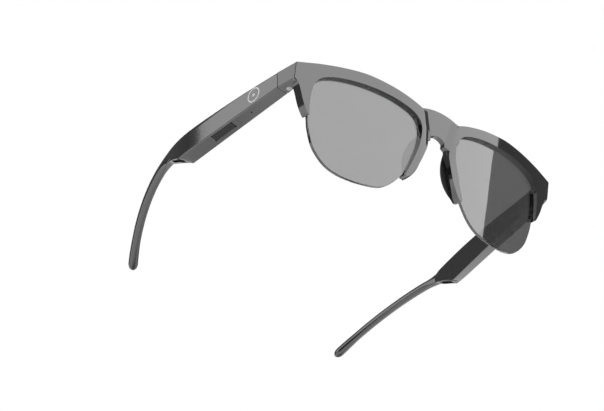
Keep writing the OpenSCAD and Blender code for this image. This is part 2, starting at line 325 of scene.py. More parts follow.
def settle(obj: bpy.types.Object) -> None:
    """Turns an object's modifiers into its plain mesh."""
    bpy.context.view_layer.update()
    graph = bpy.context.evaluated_depsgraph_get()
    made = bpy.data.meshes.new_from_object(obj.evaluated_get(graph), depsgraph=graph)
    obj.modifiers.clear()
    old, obj.data = obj.data, made
    made.name = obj.name
    bpy.data.meshes.remove(old)


def cut_with(obj: bpy.types.Object, cutters: Sequence[bmesh.types.BMesh]) -> None:
    """Takes closed cutters, in metres, out of an object."""
    for cutter in cutters:
        tool = finish_mesh("cutter", [cutter])
        mod = obj.modifiers.new("cut", "BOOLEAN")
        mod.operation, mod.object, mod.solver = "DIFFERENCE", tool, "EXACT"
        settle(obj)
        hold = tool.data
        bpy.data.objects.remove(tool)
        bpy.data.meshes.remove(hold)


def smooth(obj: bpy.types.Object, angle: float = 38.0) -> None:
    """Smooth shading with edges over the angle kept sharp, flat faces kept flat."""
    mesh = obj.data
    mesh.polygons.foreach_set("use_smooth", np.ones(len(mesh.polygons), bool))
    mesh.set_sharp_from_angle(angle=math.radians(angle))
    mod = obj.modifiers.new("even_shading", "WEIGHTED_NORMAL")
    mod.keep_sharp = True
    mod.weight = 70
    settle(obj)


# ---------------------------------------------------------------- shader groups


@dataclass
class Effects:
    """Node groups that several finishes share. Each is built once."""

    built: dict[str, bpy.types.NodeTree] = field(default_factory=dict)

    def _start(self, name: str, inputs: Sequence[tuple[str, str, object]],
               outputs: Sequence[tuple[str, str]]
               ) -> tuple[bpy.types.NodeTree, bpy.types.Node, bpy.types.Node]:
        """Begins a group with its sockets.

        Args:
            name: Group name.
            inputs: Label, socket type and default of each input.
            outputs: Label and socket type of each output.

        Returns:
            The tree, its input node and its output node.
        """
        tree = bpy.data.node_groups.new(name, "ShaderNodeTree")
        for label, kind, value in inputs:
            socket = tree.interface.new_socket(label, in_out="INPUT", socket_type=kind)
            socket.default_value = value
        for label, kind in outputs:
            tree.interface.new_socket(label, in_out="OUTPUT", socket_type=kind)
        self.built[name] = tree
        return tree, tree.nodes.new("NodeGroupInput"), tree.nodes.new("NodeGroupOutput")

    def mottle(self) -> bpy.types.NodeTree:
        """Two-scale cloudy mask and height for moulded plastic."""
        if "mottle" in self.built:
            return self.built["mottle"]
        tree, src, out = self._start(
            "mottle", [("Scale", "NodeSocketFloat", 900.0), ("Spread", "NodeSocketFloat", 1.0)],
            [("Mask", "NodeSocketFloat"), ("Height", "NodeSocketFloat")])
        place_ = tree.nodes.new("ShaderNodeTexCoord")
        fine = tree.nodes.new("ShaderNodeTexNoise")
        broad = tree.nodes.new("ShaderNodeTexNoise")
        fine.inputs["Detail"].default_value = 4.0
        broad.inputs["Scale"].default_value = 55.0
        broad.inputs["Detail"].default_value = 3.0
        mix = tree.nodes.new("ShaderNodeMath")
        mix.operation = "MULTIPLY_ADD"
        mix.inputs[1].default_value = 0.35
        ramp = tree.nodes.new("ShaderNodeMapRange")
        ramp.inputs["From Min"].default_value = 0.42
        ramp.inputs["From Max"].default_value = 0.92
        link = tree.links.new
        link(place_.outputs["Object"], fine.inputs["Vector"])
        link(place_.outputs["Object"], broad.inputs["Vector"])
        link(src.outputs["Scale"], fine.inputs["Scale"])
        link(fine.outputs["Fac"], mix.inputs[0])
        link(broad.outputs["Fac"], mix.inputs[2])
        link(mix.outputs[0], ramp.inputs["Value"])
        link(src.outputs["Spread"], ramp.inputs["To Max"])
        link(ramp.outputs["Result"], out.inputs["Mask"])
        link(fine.outputs["Fac"], out.inputs["Height"])
        return tree

    def dust(self) -> bpy.types.NodeTree:
        """Sparse specks and faint smears that lift roughness."""
        if "dust" in self.built:
            return self.built["dust"]
        tree, src, out = self._start(
            "dust", [("Specks", "NodeSocketFloat", 1400.0), ("Amount", "NodeSocketFloat", 0.1)],
            [("Mask", "NodeSocketFloat")])
        at = tree.nodes.new("ShaderNodeTexCoord")
        cells = tree.nodes.new("ShaderNodeTexVoronoi")
        smear = tree.nodes.new("ShaderNodeTexNoise")
        smear.inputs["Scale"].default_value = 120.0
        smear.inputs["Distortion"].default_value = 1.2
        near = tree.nodes.new("ShaderNodeMapRange")
        near.inputs["From Min"].default_value = 0.16
        near.inputs["From Max"].default_value = 0.05
        soft = tree.nodes.new("ShaderNodeMapRange")
        soft.inputs["From Min"].default_value = 0.5
        soft.inputs["From Max"].default_value = 0.8
        add = tree.nodes.new("ShaderNodeMath")
        add.operation = "MAXIMUM"
        times = tree.nodes.new("ShaderNodeMath")
        times.operation = "MULTIPLY"
        link = tree.links.new
        link(at.outputs["Object"], cells.inputs["Vector"])
        link(at.outputs["Object"], smear.inputs["Vector"])
        link(src.outputs["Specks"], cells.inputs["Scale"])
        link(cells.outputs["Distance"], near.inputs["Value"])
        link(smear.outputs["Fac"], soft.inputs["Value"])
        link(near.outputs["Result"], add.inputs[0])
        link(soft.outputs["Result"], add.inputs[1])
        link(add.outputs[0], times.inputs[0])
        link(src.outputs["Amount"], times.inputs[1])
        link(times.outputs[0], out.inputs["Mask"])
        return tree

    def brushed(self) -> bpy.types.NodeTree:
        """Fine parallel strokes for turned or brushed metal."""
        if "brushed" in self.built:
            return self.built["brushed"]
        tree, src, out = self._start(
            "brushed", [("Scale", "NodeSocketFloat", 700.0)],
            [("Mask", "NodeSocketFloat"), ("Height", "NodeSocketFloat")])
        at = tree.nodes.new("ShaderNodeTexCoord")
        stretch = tree.nodes.new("ShaderNodeMapping")
        stretch.inputs["Scale"].default_value = (1.0, 1.0, 14.0)
        noise = tree.nodes.new("ShaderNodeTexNoise")
        noise.inputs["Detail"].default_value = 5.0
        link = tree.links.new
        link(at.outputs["Object"], stretch.inputs["Vector"])
        link(stretch.outputs["Vector"], noise.inputs["Vector"])
        link(src.outputs["Scale"], noise.inputs["Scale"])
        link(noise.outputs["Fac"], out.inputs["Mask"])
        link(noise.outputs["Fac"], out.inputs["Height"])
        return tree

    def cells(self) -> bpy.types.NodeTree:
        """Open cells of foam, or the weave of a cloth at a small scale."""
        if "cells" in self.built:
            return self.built["cells"]
        tree, src, out = self._start(
            "cells", [("Scale", "NodeSocketFloat", 2600.0)],
            [("Mask", "NodeSocketFloat"), ("Height", "NodeSocketFloat")])
        at = tree.nodes.new("ShaderNodeTexCoord")
        hole = tree.nodes.new("ShaderNodeTexVoronoi")
        link = tree.links.new
        link(at.outputs["Object"], hole.inputs["Vector"])
        link(src.outputs["Scale"], hole.inputs["Scale"])
        link(hole.outputs["Distance"], out.inputs["Mask"])
        link(hole.outputs["Distance"], out.inputs["Height"])
        return tree


EFFECTS = Effects()


@dataclass(frozen=True)
class Finish:
    """One surface finish: two colours that a pattern mixes, and how it shines."""

    name: str
    dark: Colour
    light: Colour
    grain: Grain = Grain.POLISHED
    rough: tuple[float, float] = (0.05, 0.12)
    metallic: float = 0.0
    coat: float = 0.0
    scale: float = 900.0
    bump: float = 0.02
    dusty: float = 0.08
    clear: float = 0.0
    ior: float = 1.5
    specular: float = 0.5

    def _pattern(self, tree: bpy.types.NodeTree) -> bpy.types.Node:
        """Adds the group for this finish's grain."""
        node = tree.nodes.new("ShaderNodeGroup")
        node.node_tree = {
            Grain.POLISHED: EFFECTS.mottle, Grain.SATIN: EFFECTS.mottle,
            Grain.BRUSHED: EFFECTS.brushed, Grain.FOAM: EFFECTS.cells,
            Grain.WEAVE: EFFECTS.cells,
        }[self.grain]()
        node.inputs["Scale"].default_value = self.scale
        return node

    def material(self) -> bpy.types.Material:
        """Builds the material, or returns it if it is there already.

        Its name differs from the plain material that the frame brings for the same slot.

        Returns:
            A node material on Object coordinates.
        """
        name = f"finish_{self.name}"
        found = bpy.data.materials.get(name)
        if found:
            return found
        mat = bpy.data.materials.new(name)
        mat.use_nodes = True
        tree = mat.node_tree
        shader = tree.nodes["Principled BSDF"]
        pattern = self._pattern(tree)
        colour = tree.nodes.new("ShaderNodeMix")
        colour.data_type = "RGBA"
        colour.inputs["A"].default_value = (*self.dark, 1.0)
        colour.inputs["B"].default_value = (*self.light, 1.0)
        rough = tree.nodes.new("ShaderNodeMapRange")
        rough.inputs["To Min"].default_value = self.rough[0]
        rough.inputs["To Max"].default_value = self.rough[1]
        dust = tree.nodes.new("ShaderNodeGroup")
        dust.node_tree = EFFECTS.dust()
        dust.inputs["Amount"].default_value = self.dusty
        total = tree.nodes.new("ShaderNodeMath")
        total.operation = "ADD"
        bump = tree.nodes.new("ShaderNodeBump")
        bump.inputs["Strength"].default_value = self.bump
        bump.inputs["Distance"].default_value = 0.0004
        link = tree.links.new
        link(pattern.outputs["Mask"], colour.inputs["Factor"])
        link(colour.outputs["Result"], shader.inputs["Base Color"])
        link(pattern.outputs["Mask"], rough.inputs["Value"])
        link(rough.outputs["Result"], total.inputs[0])
        link(dust.outputs["Mask"], total.inputs[1])
        link(total.outputs[0], shader.inputs["Roughness"])
        link(pattern.outputs["Height"], bump.inputs["Height"])
        link(bump.outputs["Normal"], shader.inputs["Normal"])
        shader.inputs["Metallic"].default_value = self.metallic
        shader.inputs["Coat Weight"].default_value = self.coat
        shader.inputs["Specular IOR Level"].default_value = self.specular
        shader.inputs["Coat Roughness"].default_value = 0.03
        shader.inputs["Transmission Weight"].default_value = self.clear
        shader.inputs["IOR"].default_value = self.ior
        return mat

    def dress(self, obj: bpy.types.Object) -> None:
        """Gives the finish to every slot of an object."""
        mat = self.material()
        if obj.material_slots:
            for s in obj.material_slots:
                s.material = mat
        else:
            obj.data.materials.append(mat)


GLOSS_BLACK = Finish("gloss_black", (0.003, 0.003, 0.003), (0.007, 0.007, 0.007),
                     rough=(0.03, 0.06), coat=1.0, scale=1600.0, bump=0.004, dusty=0.02,
                     ior=2.0)
TINTED_LENS = Finish("tinted_lens", (0.10, 0.10, 0.1008), (0.106, 0.106, 0.1068),
                     rough=(0.0, 0.01), coat=1.0, scale=300.0, bump=0.0, dusty=0.003, clear=1.0,
                     ior=2.1)
SOFT_PAD = Finish("soft_pad", (0.012, 0.012, 0.013), (0.024, 0.024, 0.025), Grain.SATIN,
                  rough=(0.32, 0.5), scale=2200.0, bump=0.08)
STEEL = Finish("steel", (0.42, 0.42, 0.43), (0.62, 0.62, 0.63), Grain.BRUSHED, rough=(0.22, 0.4),
               metallic=1.0, scale=900.0, bump=0.15)
CELL_WRAP = Finish("cell_wrap", (0.04, 0.08, 0.2), (0.07, 0.13, 0.3), Grain.SATIN,
                   rough=(0.25, 0.45), scale=500.0, bump=0.1)
BOARD_GREEN = Finish("board_green", (0.012, 0.09, 0.035), (0.03, 0.16, 0.06), Grain.SATIN,
                     rough=(0.3, 0.5), scale=1500.0, bump=0.2)
SHIELD_CAN = Finish("shield_can", (0.5, 0.51, 0.53), (0.7, 0.71, 0.73), Grain.BRUSHED,
                    rough=(0.28, 0.42), metallic=1.0, scale=600.0, bump=0.08)
COPPER = Finish("copper", (0.5, 0.22, 0.1), (0.75, 0.4, 0.2), Grain.BRUSHED, rough=(0.2, 0.35),
                metallic=1.0, scale=800.0, bump=0.08)
SPEAKER_BLACK = Finish("speaker_black", (0.012, 0.012, 0.013), (0.03, 0.03, 0.032), Grain.SATIN,
                       rough=(0.5, 0.7), scale=1800.0, bump=0.2)
FOAM = Finish("foam", (0.012, 0.012, 0.012), (0.05, 0.05, 0.052), Grain.FOAM, rough=(0.85, 0.98),
              scale=3200.0, bump=0.7)
MESH_BLACK = Finish("mesh_black", (0.008, 0.008, 0.008), (0.03, 0.03, 0.03), Grain.WEAVE,
                    rough=(0.35, 0.5), metallic=0.6, scale=4000.0, bump=0.3)
CONTACT_GOLD = Finish("contact_gold", (0.68, 0.47, 0.16), (0.9, 0.68, 0.3), Grain.BRUSHED,
                      rough=(0.16, 0.28), metallic=1.0, scale=1200.0, bump=0.06)
NICKEL = Finish("nickel", (0.6, 0.6, 0.6), (0.75, 0.75, 0.74), Grain.BRUSHED, rough=(0.12, 0.22),
                metallic=1.0, scale=700.0, bump=0.05)
MARK_WHITE = Finish("mark_white", (0.6, 0.6, 0.6), (0.78, 0.78, 0.78), Grain.SATIN,
                    rough=(0.3, 0.45), scale=2400.0, bump=0.05)
SWITCH_GREY = Finish("switch_grey", (0.15, 0.15, 0.16), (0.27, 0.27, 0.28), Grain.SATIN,
                     rough=(0.45, 0.6), scale=1500.0, bump=0.15)
KEY_BLACK = Finish("key_black", (0.012, 0.012, 0.013), (0.022, 0.022, 0.024), Grain.SATIN,
                   rough=(0.22, 0.34), scale=2600.0, bump=0.05)
FINISHES = {f.name: f for f in (
    GLOSS_BLACK, TINTED_LENS, SOFT_PAD, STEEL, CELL_WRAP, BOARD_GREEN, SHIELD_CAN, COPPER,
    SPEAKER_BLACK, FOAM, MESH_BLACK, CONTACT_GOLD, NICKEL, MARK_WHITE, SWITCH_GREY, KEY_BLACK)}


def turn_out(obj: bpy.types.Object) -> None:
    """Flips the faces of a finished piece whose signed volume is below zero."""
    bm = bmesh.new()
    bm.from_mesh(obj.data)
    if bm.calc_volume(signed=True) < 0:
        obj.data.flip_normals()
    bm.free()


def add_piece(obj: bpy.types.Object, body: str, finish: Finish, *nodes: str) -> bpy.types.Object:
    """Dresses a finished piece, sets it on its body and names the CAD nodes it stands for."""
    turn_out(obj)
    finish.dress(obj)
    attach(obj, body)
    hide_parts(*nodes)
    LOG.info("%s: %d faces on %s, stands for %s", obj.name, len(obj.data.polygons), body,
             ", ".join(nodes))
    return obj


# ---------------------------------------------------------------- front


@dataclass
class FrontFrame:
    """Brow bars with their lobes, the bridge panel and the endpieces, in one moulding."""

    rim_t: float = 4.4
    bridge_step: float = 1.6
    edge_round: float = 0.5
    back_round: float = 0.3
    strip: float = 1.5
    pivot: Point2 = (71.0, 8.3)
    knuckle_room: float = 1.95
    swing_room: float = 2.95
    head_room: float = 1.38
    leaf_low: float = -5.7
    leaf_high: float = -3.1
    brow_top: tuple[Point2, ...] = (
        (72.98, 0.1), (67.6, 1.2), (62.3, 2.3), (51.2, 4), (39.6, 4.8), (28, 3.7), (20.8, 2.3),
        (14, 0.4), (10, -1.2))
    inner_edge: tuple[Point2, ...] = (
        (8, -8), (6.5, -14), (6.1, -17.5), (6.8, -20.6), (9.2, -27.6), (12.2, -33.8),
        (14.5, -36.7), (16.0, -37.0))
    opening: tuple[Point2, ...] = (
        (64.75, -24.0), (65.1, -19), (64.9, -13), (63.9, -8.2), (61, -4.3), (54, -1.8),
        (43, -0.6), (32, -0.8), (22, -2.2), (14, -5), (10.3, -9.5), (10.1, -17), (12.4, -26),
        (15.9, -35.4), (16.35, -36.6))
    outer_edge: tuple[Point2, ...] = (
        (65.2, -23.7), (66, -22.6), (68, -18.4), (69.6, -13.6), (71, -10), (72.3, -8.4),
        (72.98, -8))

    def brow_outline(self) -> list[Point2]:
        """Closed outline of one brow bar with both of its lobes."""
        inner = spline(self.inner_edge, 6)
        rim = list(reversed(spline(self.opening, 8)))
        return [*spline(self.brow_top, 7), (4, 0), (4, -14), *inner[8:], *rim,
                *spline(self.outer_edge, 5)]

    def brow(self, side: Side) -> bmesh.types.BMesh:
        """One brow bar, flat in plan and then laid on the curved face."""
        bm = prism(self.brow_outline(), 0.0, self.rim_t)
        a, b, c = Vector((10, -1.2, 0)), Vector((5.9, -17.5, 0)), Vector((6.9, 1, 1.75))
        normal = (b - a).cross(c - a).normalized()
        if normal.x > 0:
            normal = -normal
        slice_off(bm, a, normal)
        round_edges(bm, self.edge_round, 4,
                    lambda e: max(v.co.z for v in e.verts) < 0.01, 50.0)
        round_edges(bm, self.back_round, 2,
                    lambda e: min(v.co.z for v in e.verts) > self.rim_t - 0.01, 50.0)
        strips(bm, 0, 5.0, 73.0, self.strip)
        return self._lay(bm, side)

    def _lay(self, bm: bmesh.types.BMesh, side: Side) -> bmesh.types.BMesh:
        """Lays a flat plan (across, up, depth) on the leaning curved face."""
        p = rows(bm)
        place(bm, LAYOUT.front(np.stack([side.value * p[:, 0], p[:, 2], p[:, 1]], 1)))
        return bm

    def bridge(self) -> bmesh.types.BMesh:
        """Panel between the brows, set back behind their faces."""
        arch = [(7, -20.6), (6.1, -17.5), (5.2, -14), (3.8, -12), (2, -10.9), (0, -10.5)]
        low = spline([*arch, *[(-x, w) for x, w in reversed(arch[:-1])]], 4)
        top = [(u, 1.9 - 0.0165 * u * u) for u in np.linspace(-12.5, 12.5, 21)]
        bm = prism([*top, (12.5, -8), *low, (-12.5, -8)], self.bridge_step, self.rim_t)
        round_edges(bm, 0.4, 3, lambda e: max(v.co.z for v in e.verts) < self.bridge_step + 0.01,
                    50.0)
        round_edges(bm, self.back_round, 2,
                    lambda e: min(v.co.z for v in e.verts) > self.rim_t - 0.01, 50.0)
        strips(bm, 0, -12.0, 12.0, self.strip)
        return self._lay(bm, Side.LEFT)

    def endpiece(self, side: Side) -> bmesh.types.BMesh:
        """Block between the front corner and the hinge seam, with its room for the hinge."""
        px, py = self.pivot
        swing = [(px + self.swing_room * math.cos(a), py + self.swing_room * math.sin(a))
                 for a in np.linspace(math.radians(90), math.radians(120), 5)]
        plan = [(65, 1), (65, -3.2), (72.9, -3.2), (73, 0), (75.24, 10.92), (71.1, 11.3), *swing,
                (69.5, 7.5), (67.5, 4.8)]
        bm = prism(plan, -8.85, 0.1)
        slice_off(bm, (73.0, 0.55, 0.0), Vector((0.28, -0.937, -0.2)).normalized())
        slice_off(bm, (73.0, 0, -7.8), Vector((0.90, -0.185, -0.42)).normalized())
        round_edges(bm, 0.28, 3, lambda e: all(v.co.y > -1 for v in e.verts)
                    and max(v.co.x for v in e.verts) > 72.9, 20.0)
        p = rows(bm)
        p[:, 0] *= side.value
        place(bm, LAYOUT.table(p))
        return bm

    def hinge_room(self, side: Side) -> list[bmesh.types.BMesh]:
        """Cutters for the knuckle, the leaf, the base plate and the pin's head."""
        px, py = self.pivot
        knuckle = circle(px, py, self.knuckle_room, 40)
        head = circle(px, py, self.head_room, 40)

        def block(x0: float, x1: float, y0: float, y1: float) -> list[Point2]:
            """Plan of a block about the pivot."""
            return [(px + x0, py + y0), (px + x1, py + y0), (px + x1, py + y1), (px + x0, py + y1)]

        tools = [(knuckle, -8.0, -0.8), (head, -9.5, -7.95),
                 (block(-8, 1.2, -0.95, 5.05), self.leaf_low - 0.15, self.leaf_high + 0.15),
                 (block(-1.6, -0.4, -5.7, 0), -8.0, -0.8)]
        out = []
        for plan, low, high in tools:
            bm = prism(plan, low, high)
            p = rows(bm)
            p[:, 0] *= side.value
            place(bm, LAYOUT.table(p))
            bmesh.ops.recalc_face_normals(bm, faces=bm.faces)
            out.append(bm)
        return out

    def build(self) -> None:
        """Builds the moulding and dresses it."""
        ends = []
        for side in Side:
            end = finish_mesh(f"endpiece_{side.label}", [self.endpiece(side)])
            cut_with(end, self.hinge_room(side))
            ends.append(end)
        parts = [self.brow(Side.RIGHT), self.brow(Side.LEFT), self.bridge()]
        for end in ends:
            bm = bmesh.new()
            bm.from_mesh(end.data)
            parts.append(bm)
            hold = end.data
            bpy.data.objects.remove(end)
            bpy.data.meshes.remove(hold)
        obj = finish_mesh("front_moulding", parts)
        smooth(obj)
        add_piece(obj, "front", GLOSS_BLACK, "front_frame")


@dataclass
class Lens:
    """A curved tinted lens, held in the brow's groove and free below."""

    side: Side
    depth: float = 2.0
    thick: float = 1.6
    grip: float = 0.9
    edge: float = 0.22

    def outline(self) -> list[Point2]:
        """Closed outline of the lens."""
        g = self.grip
        return spline([
            (64.3, -24), (63.2, -30), (60.3, -37.8), (55, -44), (48.8, -47.1), (41, -48.1),
            (33, -47.6), (27, -46.2), (21.8, -42.6), (17.9, -38), (15.7, -34.6), (12.4 - g, -26.2),
            (10.1 - g, -17), (10.3 - g, -9.2), (13.4, -4.4), (21.7, -2.2 + g), (32, -0.8 + g),
            (43, -0.6 + g), (54.2, -1.8 + g), (61.5, -3.6), (64.9, -8), (65.5, -13), (65.5, -19)],
            8, True)

    def build(self) -> None:
        """Builds the lens and dresses it."""
        bm = prism(self.outline(), self.depth, self.depth + self.thick)
        round_edges(bm, self.edge, 2, None, 50.0)
        strips(bm, 0, 9.0, 66.0, 1.5)
        p = rows(bm)
        place(bm, LAYOUT.front(np.stack([self.side.value * p[:, 0], p[:, 2], p[:, 1]], 1)))
        obj = finish_mesh(f"lens_pane_{self.side.label}", [bm])
        smooth(obj)
        add_piece(obj, "front", TINTED_LENS, f"lens_{self.side.label}")


@dataclass
class NosePad:
    """Soft spindle-shaped pad behind the nose edge of the front."""

    side: Side
    wide: float = 9.4
    long: float = 27.0
    at: tuple[float, float, float] = (11.0, -7.4, -24.4)
    turn: float = math.radians(-15.7)
    rim_t: float = 4.4
    rings: int = 56
    around: int = 48

    def build(self) -> None:
        """Builds the pad as rings of a spindle, flat where it meets the rim."""
        arc = (self.long**2 / self.wide + self.wide) / 4
        z = np.linspace(-1, 1, self.rings + 2)[1:-1] * self.long / 2
        r = np.sqrt(arc**2 - z**2) - (arc - self.wide / 2)
        a = np.linspace(0, 2 * math.pi, self.around, endpoint=False)
        local = np.stack([np.outer(r, np.cos(a)), np.outer(r, np.sin(a)),
                          np.repeat(z[:, None], self.around, 1)], 2).reshape(-1, 3)
        tips = np.array([[0, 0, -self.long / 2], [0, 0, self.long / 2]])
        local = np.concatenate([local, tips])
        c, s = math.cos(self.turn), math.sin(self.turn)
        u = local[:, 0] * c + local[:, 2] * s + self.at[0]
        v = local[:, 1] + self.at[1]
        w = -local[:, 0] * s + local[:, 2] * c + self.at[2]
        mid = LAYOUT.face_r - LAYOUT.face_rise
        depth = LAYOUT.face_r - np.sqrt(u**2 + (v - mid) ** 2)
        depth = np.maximum(depth, self.rim_t + 0.02)
        flat = np.stack([self.side.value * u, depth, w], 1)
        n = self.around
        faces = [(k * n + i, k * n + (i + 1) % n, (k + 1) * n + (i + 1) % n, (k + 1) * n + i)
                 for k in range(self.rings - 1) for i in range(n)]
        low, high = self.rings * n, self.rings * n + 1
        faces += [(low, (i + 1) % n, i) for i in range(n)]
        last = (self.rings - 1) * n
        faces += [(high, last + i, last + (i + 1) % n) for i in range(n)]
        obj = mesh_from(f"soft_nose_pad_{self.side.label}", LAYOUT.front(flat) * 0.001, faces,
                        weld=0.0)
        smooth(obj, 55.0)
        add_piece(obj, "front", SOFT_PAD, f"nose_pad_{self.side.label}")


# ---------------------------------------------------------------- temples


@dataclass
class Temple:
    """One temple: the electronics box, the ramp with the speaker slot and the ear hook.

    The outside is one loft of closed rings. Each ring runs F, B, A, E, D, C and back to F:
    inner seam, inner top, outer top, chamfer top, chamfer foot, inner foot.
    """

    side: Side
    box_w: float = 5.9
    wall: float = 1.1
    box_len: float = 61.3
    tail_len: float = 74.9
    bend_y: float = 57.5
    low: float = -4.45
    seam: float = -3.5
    inner_seam: float = 3.35
    hook_r: float = 85.0
    hook_a: float = 43.4
    hook_at: tuple[float, float, float] = (-1.1, 74.9, 2.9)
    hook_turn: float = math.radians(15.2)
    hook_tilt: float = math.radians(24.0)
    hook_w: float = 3.8
    hook_h: float = 5.2
    scoop: tuple[float, float, float] = (60.0, 95.9, -56.2)
    slot_x: float = -0.4
    slot_turn: float = math.radians(27.2)
    inner_fall: float = 2.75
    outer_fall: float = 0.45
    outer_run: float = 60
    gap: float = 0.05
    straight: int = 8
    corner: int = 5

    def top(self, y: float) -> float:
        """Height of the top edge."""
        pts = spline([(0, 4.45), (24, 6.1), (48, 6.7), (62, 6.3), (75, 5.4)], 12)
        xs, zs = zip(*pts)
        return float(np.interp(y, xs, zs))

    def ramp(self, y: float) -> float:
        """Height of the ramp's surface under the tail."""
        r, cy, cz = self.scoop
        return cz + math.sqrt(max(r * r - (y - cy) ** 2, 0.0)) if y > 40 else -20.0

    def outer_x(self, y: float) -> float:
        """Distance of the outer face from the middle plane of the box."""
        r = (self.tail_len - self.bend_y) / math.sin(self.hook_turn)
        a = math.asin(min(1.0, max(0.0, (y - self.bend_y) / r)))
        return self.box_w / 2 - r * (1 - math.cos(a))

    def box_corners(self, y: float) -> tuple[list[Point2], list[float]]:
        """Corners F, B, A, E, D, C of the box section at y, and their roundings."""
        xi, xo, t = -self.box_w / 2, self.outer_x(y), self.top(y)
        foot = max(self.low - self.inner_fall * y / self.box_len, self.ramp(y))
        outer_foot = max(self.low - self.outer_fall * min(y, 64) / self.outer_run, self.ramp(y))
        rise = 0.95 - 0.35 * min(y, 64) / 64
        inset = 0.5 - 0.15 * min(y, 64) / 64
        f_z = self.inner_seam if y < 70 else self.inner_seam - 0.6 * ease(y, 70, 75)
        pts = [(xi, f_z), (xi, t), (xo, t), (xo, outer_foot + rise), (xo - inset, outer_foot),
               (xi, foot)]
        return pts, [0.02, 0.75, 0.75, 0.06, 0.06, 0.3]

    def ring(self, pts: Sequence[Point2], radii: Sequence[float]) -> Points:
        """Closed ring with rounded corners, the same number of points for every section."""
        n = len(pts)
        p = [np.array(q, float) for q in pts]
        arcs = []
        for i in range(n):
            a, b, c = p[i - 1], p[i], p[(i + 1) % n]
            da, dc = a - b, c - b
            la, lc = np.linalg.norm(da), np.linalg.norm(dc)
            cut = min(radii[i], 0.45 * la, 0.45 * lc)
            s, e = b + da / la * cut, b + dc / lc * cut
            ts = np.linspace(0, 1, self.corner)[:, None]
            arcs.append((1 - ts) ** 2 * s + 2 * ts * (1 - ts) * b + ts**2 * e)
        out = []
        for i in range(n):
            s, e = arcs[i][-1], arcs[(i + 1) % n][0]
            ts = np.linspace(0, 1, self.straight + 2)[1:-1, None]
            out.append(arcs[i])
            out.append(s + (e - s) * ts)
        return np.concatenate(out)

    def index(self, corner: int) -> int:
        """Ring number of the middle of a corner."""
        return corner * (self.corner + self.straight) + self.corner // 2

    def hook_ring(self, w: float, h: float) -> Points:
        """Pointed-oval ring, its points matched to the box ring's corners."""
        s = h * h / w
        r, d = (s + w) / 4, (s - w) / 4
        edge = math.asin(min(1.0, h / 2 / r)) * 0.93
        i_b, i_a, i_e, i_c = (self.index(k) for k in (1, 2, 3, 5))
        n = 6 * (self.corner + self.straight)
        out = np.zeros((n, 2))

        def arc(first: int, last: int, start: float, end: float, sign: int) -> None:
            """Fills ring points along one side's arc."""
            for k in range(first, last + 1):
                a = start + (end - start) * (k - first) / (last - first)
                out[k % n] = (sign * (-d + r * math.cos(a)), r * math.sin(a))

        arc(i_a, i_e, edge, -edge, 1)
        arc(i_c, i_b + n, -edge, edge, -1)
        for first, last, lift in ((i_b, i_a, 0.09), (i_e, i_c, -0.02)):
            s_, e_ = out[first % n].copy(), out[last % n].copy()
            for k in range(first + 1, last):
                t = (k - first) / (last - first)
                out[k] = s_ + (e_ - s_) * t + np.array([0, lift * 4 * t * (1 - t)])
        return out

    def hook_frame(self, phi: float) -> tuple[Points, Points, Points, Points]:
        """Centre, across, up and along directions of the hook at an arc angle."""
        c, s = math.cos(phi), math.sin(phi)
        t = -(math.pi / 2 - self.hook_tilt)
        turn = np.array([[math.cos(self.hook_turn), -math.sin(self.hook_turn), 0],
                         [math.sin(self.hook_turn), math.cos(self.hook_turn), 0], [0, 0, 1]])
        tip = np.array([[math.cos(t), 0, math.sin(t)], [0, 1, 0], [-math.sin(t), 0, math.cos(t)]])
        m = turn @ tip
        centre = m @ np.array([self.hook_r * (c - 1), self.hook_r * s, 0]) + self.hook_at
        return centre, m @ np.array([0, 0, -1.0]), m @ np.array([c, s, 0]), m @ np.array([-s, c, 0])

    def station(self, s: float) -> Points:
        """Ring of the outside at length s from the hinge seam, in the box frame."""
        y = min(s, self.tail_len)
        flat = self.ring(*self.box_corners(y))
        skew = 3.5 * (ease(s, 48, 61.3) - ease(s, 61.3, 71))
        shift = skew * (flat[:, 0] + self.box_w / 2) / self.box_w
        box = np.stack([flat[:, 0], np.full(len(flat), y), flat[:, 1]], 1)
        if skew > 0.001:
            for k in range(len(box)):
                yk = y + shift[k]
                box[k] = (*self.ring(*self.box_corners(yk))[k], yk)
                box[k] = box[k][[0, 2, 1]]
        if s < self.tail_len:
            centre, across, up, along = self.hook_frame(0.0)
            centre = centre + along * (s - self.tail_len)
        else:
            centre, across, up, along = self.hook_frame((s - self.tail_len) / self.hook_r)
            start = self.hook_frame(0.0)[0]
            box = box + (centre - start)
        end = self.tail_len + self.hook_r * math.radians(self.hook_a)
        left = end - s
        spoon = 1 + 0.10 * ease(left, 16, 4) - 0.05 * ease(s, 78, 100) * (1 - ease(left, 16, 4))
        tip = math.sqrt(max(1 - max(0.0, 1 - left / 3.2) ** 2, 0.0))
        flat = self.hook_ring(self.hook_w * spoon, self.hook_h)
        hook = centre + np.outer(flat[:, 0] * tip, across) + np.outer(flat[:, 1] * tip, up)
        mix = ease(s, 70.5, 86.0)
        return box * (1 - mix) + hook * mix

    def stations(self) -> list[float]:
        """Lengths at which rings are made, closer together where the form changes."""
        end = self.tail_len + self.hook_r * math.radians(self.hook_a)
        out = list(np.linspace(0, 54, 40)) + list(np.linspace(55, 60.9, 14)) + [self.box_len]
        out += list(np.linspace(61.7, 84, 42)) + list(np.linspace(85, end - 3.4, 44))
        return out + [end - 3.2 * (1 - math.sin(a)) for a in np.linspace(0, 1.5, 12)]

    def inner(self, ring: Points) -> Points:
        """The ring of the hollow inside an outer ring."""
        lo, hi = ring.min(0), ring.max(0)
        mid, half = (lo + hi) / 2, np.maximum((hi - lo) / 2, 0.01)
        scale = np.ones(3)
        scale[[0, 2]] = np.maximum(1 - self.wall / half[[0, 2]], 0.25)
        return mid + (ring - mid) * scale

